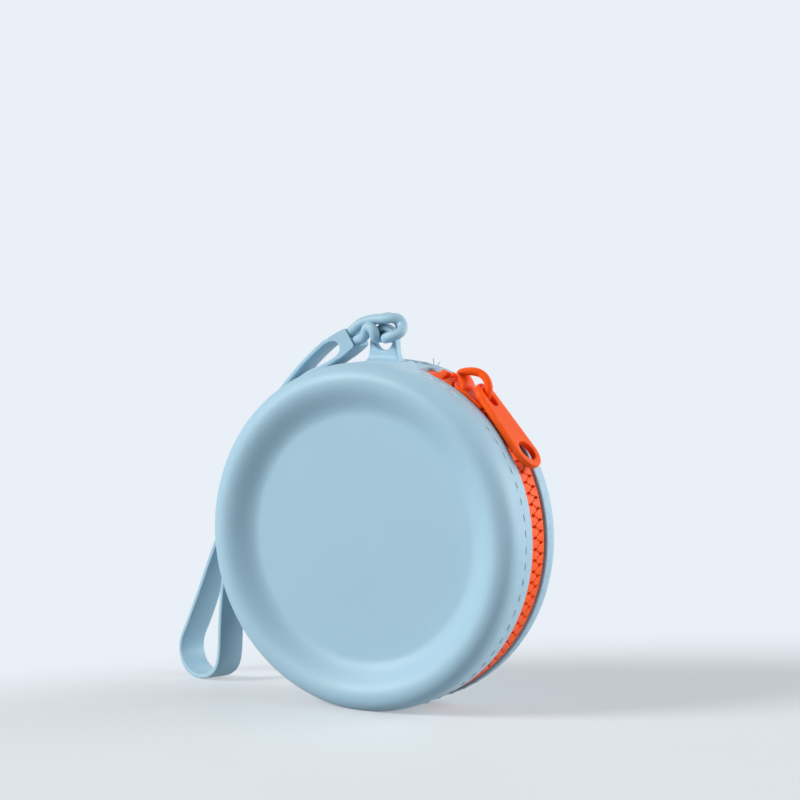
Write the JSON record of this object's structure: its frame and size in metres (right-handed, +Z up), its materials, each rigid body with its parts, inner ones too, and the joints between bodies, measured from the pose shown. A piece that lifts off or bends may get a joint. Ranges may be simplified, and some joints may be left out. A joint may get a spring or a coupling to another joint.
{
  "type": "silicone coin pouch",
  "caption": "Round silicone coin pouch that stands on its rim, with a curved moulded zip, pull tab, moulded hanger and a wrist strap.",
  "frame": {"origin": "on the surface it stands on, under the middle of the round body", "axes": "+Z up through the hanger, -Y out of the front face, +X towards the zip"},
  "size_m": [0.1067, 0.026, 0.095],
  "materials": {
    "silicone_shell": "satin moulded silicone, pale blue",
    "strap_silicone": "satin moulded silicone, pale blue",
    "zip_plastic": "moulded acetal, bright orange",
    "zip_tape": "woven polyester tape, orange",
    "blue_thread": "polyester sewing thread, pale blue"
  },
  "bodies": {
    "shell": {"shell_body": "silicone_shell", "flex_web": "silicone_shell", "tape_rear": "zip_tape", "teeth_rear": "zip_plastic", "top_stop_rear": "zip_plastic", "bottom_stop": "zip_plastic", "seam_rear": "blue_thread", "thread_tails": "blue_thread", "strap_cord": "strap_silicone"},
    "flap": {"shell_flap": "silicone_shell", "tape_front": "zip_tape", "teeth_front": "zip_plastic", "top_stop_front": "zip_plastic", "seam_front": "blue_thread"},
    "slider": {"slider_body": "zip_plastic", "slider_bail": "zip_plastic"},
    "puller": {"pull_tab": "zip_plastic"},
    "strap": {"strap_collar": "strap_silicone", "wrist_band": "strap_silicone"}
  },
  "joints": [
    {"name": "flap_open", "type": "hinge", "parent": "shell", "child": "flap", "pos_m": [0.01096, 0.0023, 0.0416], "axis": [0, 0, -1], "range_deg": [0, 30], "deforming": ["flex_web", "teeth_front", "tape_front"]},
    {"name": "slider_travel", "type": "hinge", "parent": "shell", "child": "slider", "pos_m": [0, 0, 0.0416], "axis": [0, 1, 0], "range_deg": [0, 121], "deforming": ["teeth_rear"]},
    {"name": "puller_swing", "type": "hinge", "parent": "slider", "child": "puller", "pos_m": [0.02586, 0.0023, 0.07793], "axis": [0, -1, 0], "range_deg": [0, 120]},
    {"name": "strap_swing", "type": "hinge", "parent": "shell", "child": "strap", "pos_m": [-0.005, 0.002, 0.0906], "axis": [0, 1, 0], "range_deg": [0, 100], "deforming": ["strap_cord"]}
  ],
  "couplings": [
    {"joint": "slider_travel", "follows": "flap_open", "ratio": 4.0333}
  ]
}
